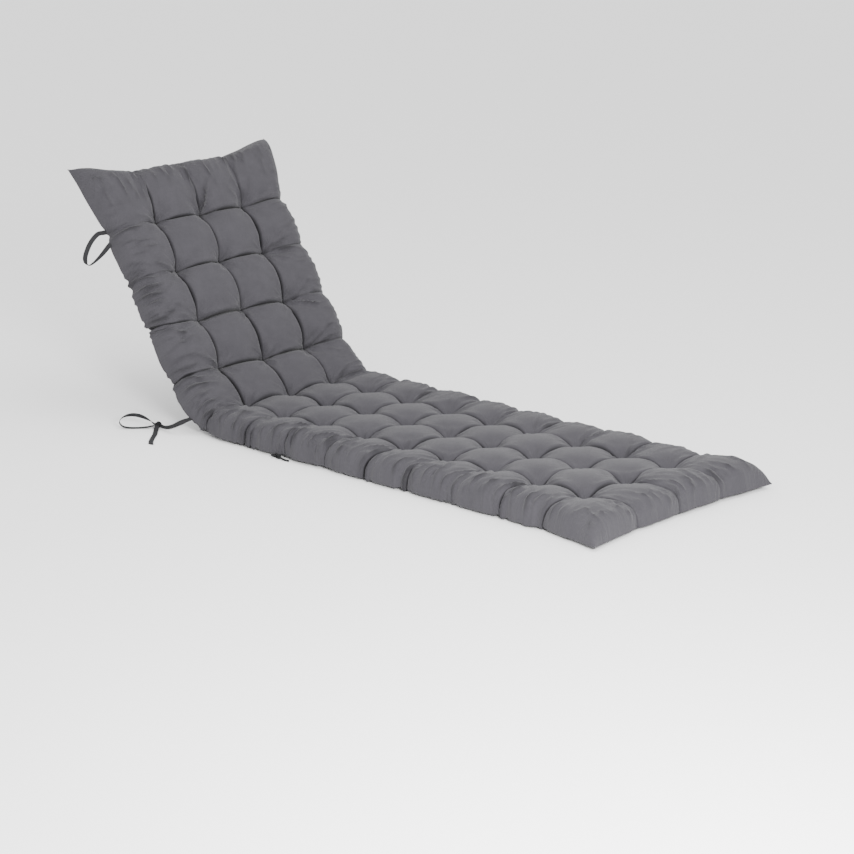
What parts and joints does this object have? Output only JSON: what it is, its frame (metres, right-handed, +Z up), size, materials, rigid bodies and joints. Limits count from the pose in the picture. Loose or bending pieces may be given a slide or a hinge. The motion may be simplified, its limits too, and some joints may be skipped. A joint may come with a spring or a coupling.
{
  "type": "sun lounger cushion",
  "caption": "Long tufted pad for a sun lounger, flat under the legs and seat with the back raised, dark grey woven cover, narrow tape ties on one side.",
  "frame": {"origin": "under the middle of the cushion, on the surface that the seat rests on, at the middle of the box round the cushion without its ties", "axes": "+X along the seat towards the foot end, +Y across to the side without ties, +Z up; the back rises at the -X end"},
  "size_m": [1.7204, 0.7673, 0.6174],
  "materials": {
    "cover_cloth": "matte",
    "tie_tape": "matte",
    "seat_tie_cord": "matte"
  },
  "bodies": {
    "root": {"cushion": "cover_cloth", "back_loop": "tie_tape", "bend_strap": "tie_tape", "bend_knot": "tie_tape", "bend_bow": "tie_tape", "bend_tail": "tie_tape", "seat_knot": "seat_tie_cord", "seat_loop": "seat_tie_cord", "seat_end": "seat_tie_cord"}
  },
  "joints": []
}
